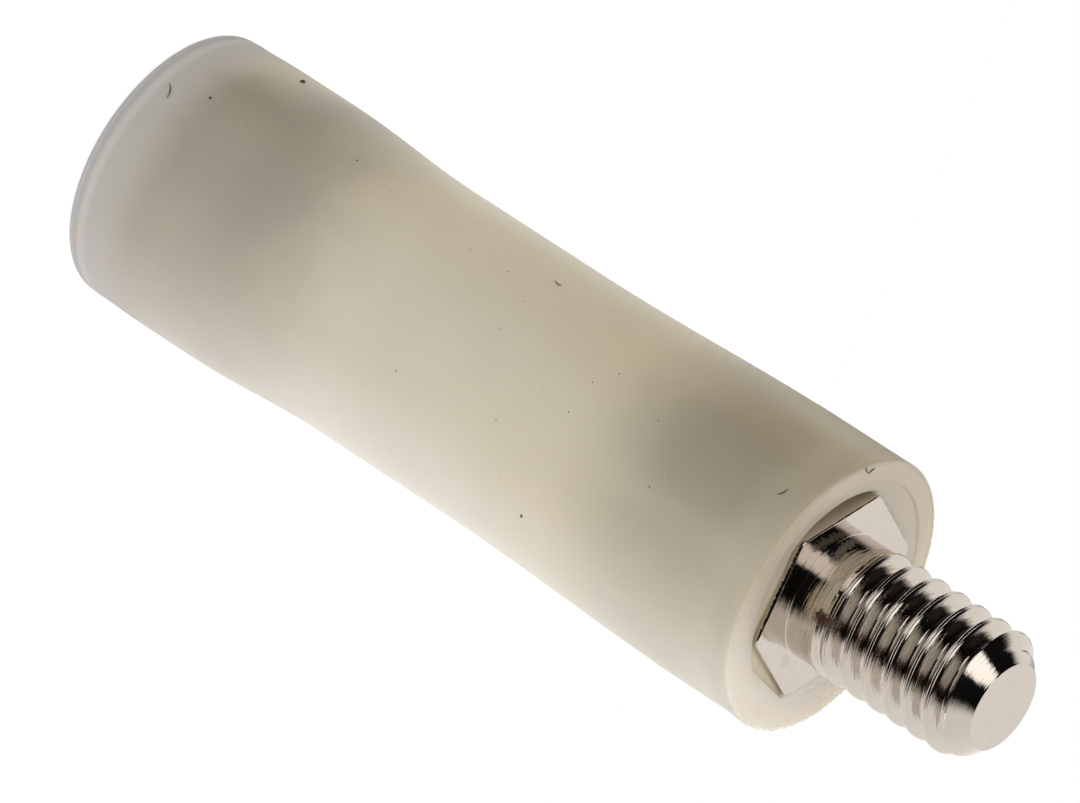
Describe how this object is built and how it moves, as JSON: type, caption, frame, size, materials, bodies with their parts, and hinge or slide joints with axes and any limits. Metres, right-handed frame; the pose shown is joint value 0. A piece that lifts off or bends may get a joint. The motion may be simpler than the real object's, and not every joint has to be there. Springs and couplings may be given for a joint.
{
  "type": "insulating standoff",
  "caption": "Round nylon insulating standoff moulded round a hexagonal stud insert at one end and a tapped hexagonal insert at the other.",
  "frame": {"origin": "centre of the bottom face, the end with the tapped hole", "axes": "+Z along the standoff from the tapped end to the stud's tip; two corners of the hexagons lie on the X axis"},
  "size_m": [0.008, 0.008, 0.03],
  "materials": {
    "nylon": "natural nylon, milky and slightly translucent, satin",
    "nickel_plate": "turned brass, bright nickel plated"
  },
  "bodies": {
    "root": {"nylon_body": "nylon", "stud_insert": "nickel_plate", "tapped_insert": "nickel_plate"}
  },
  "joints": []
}
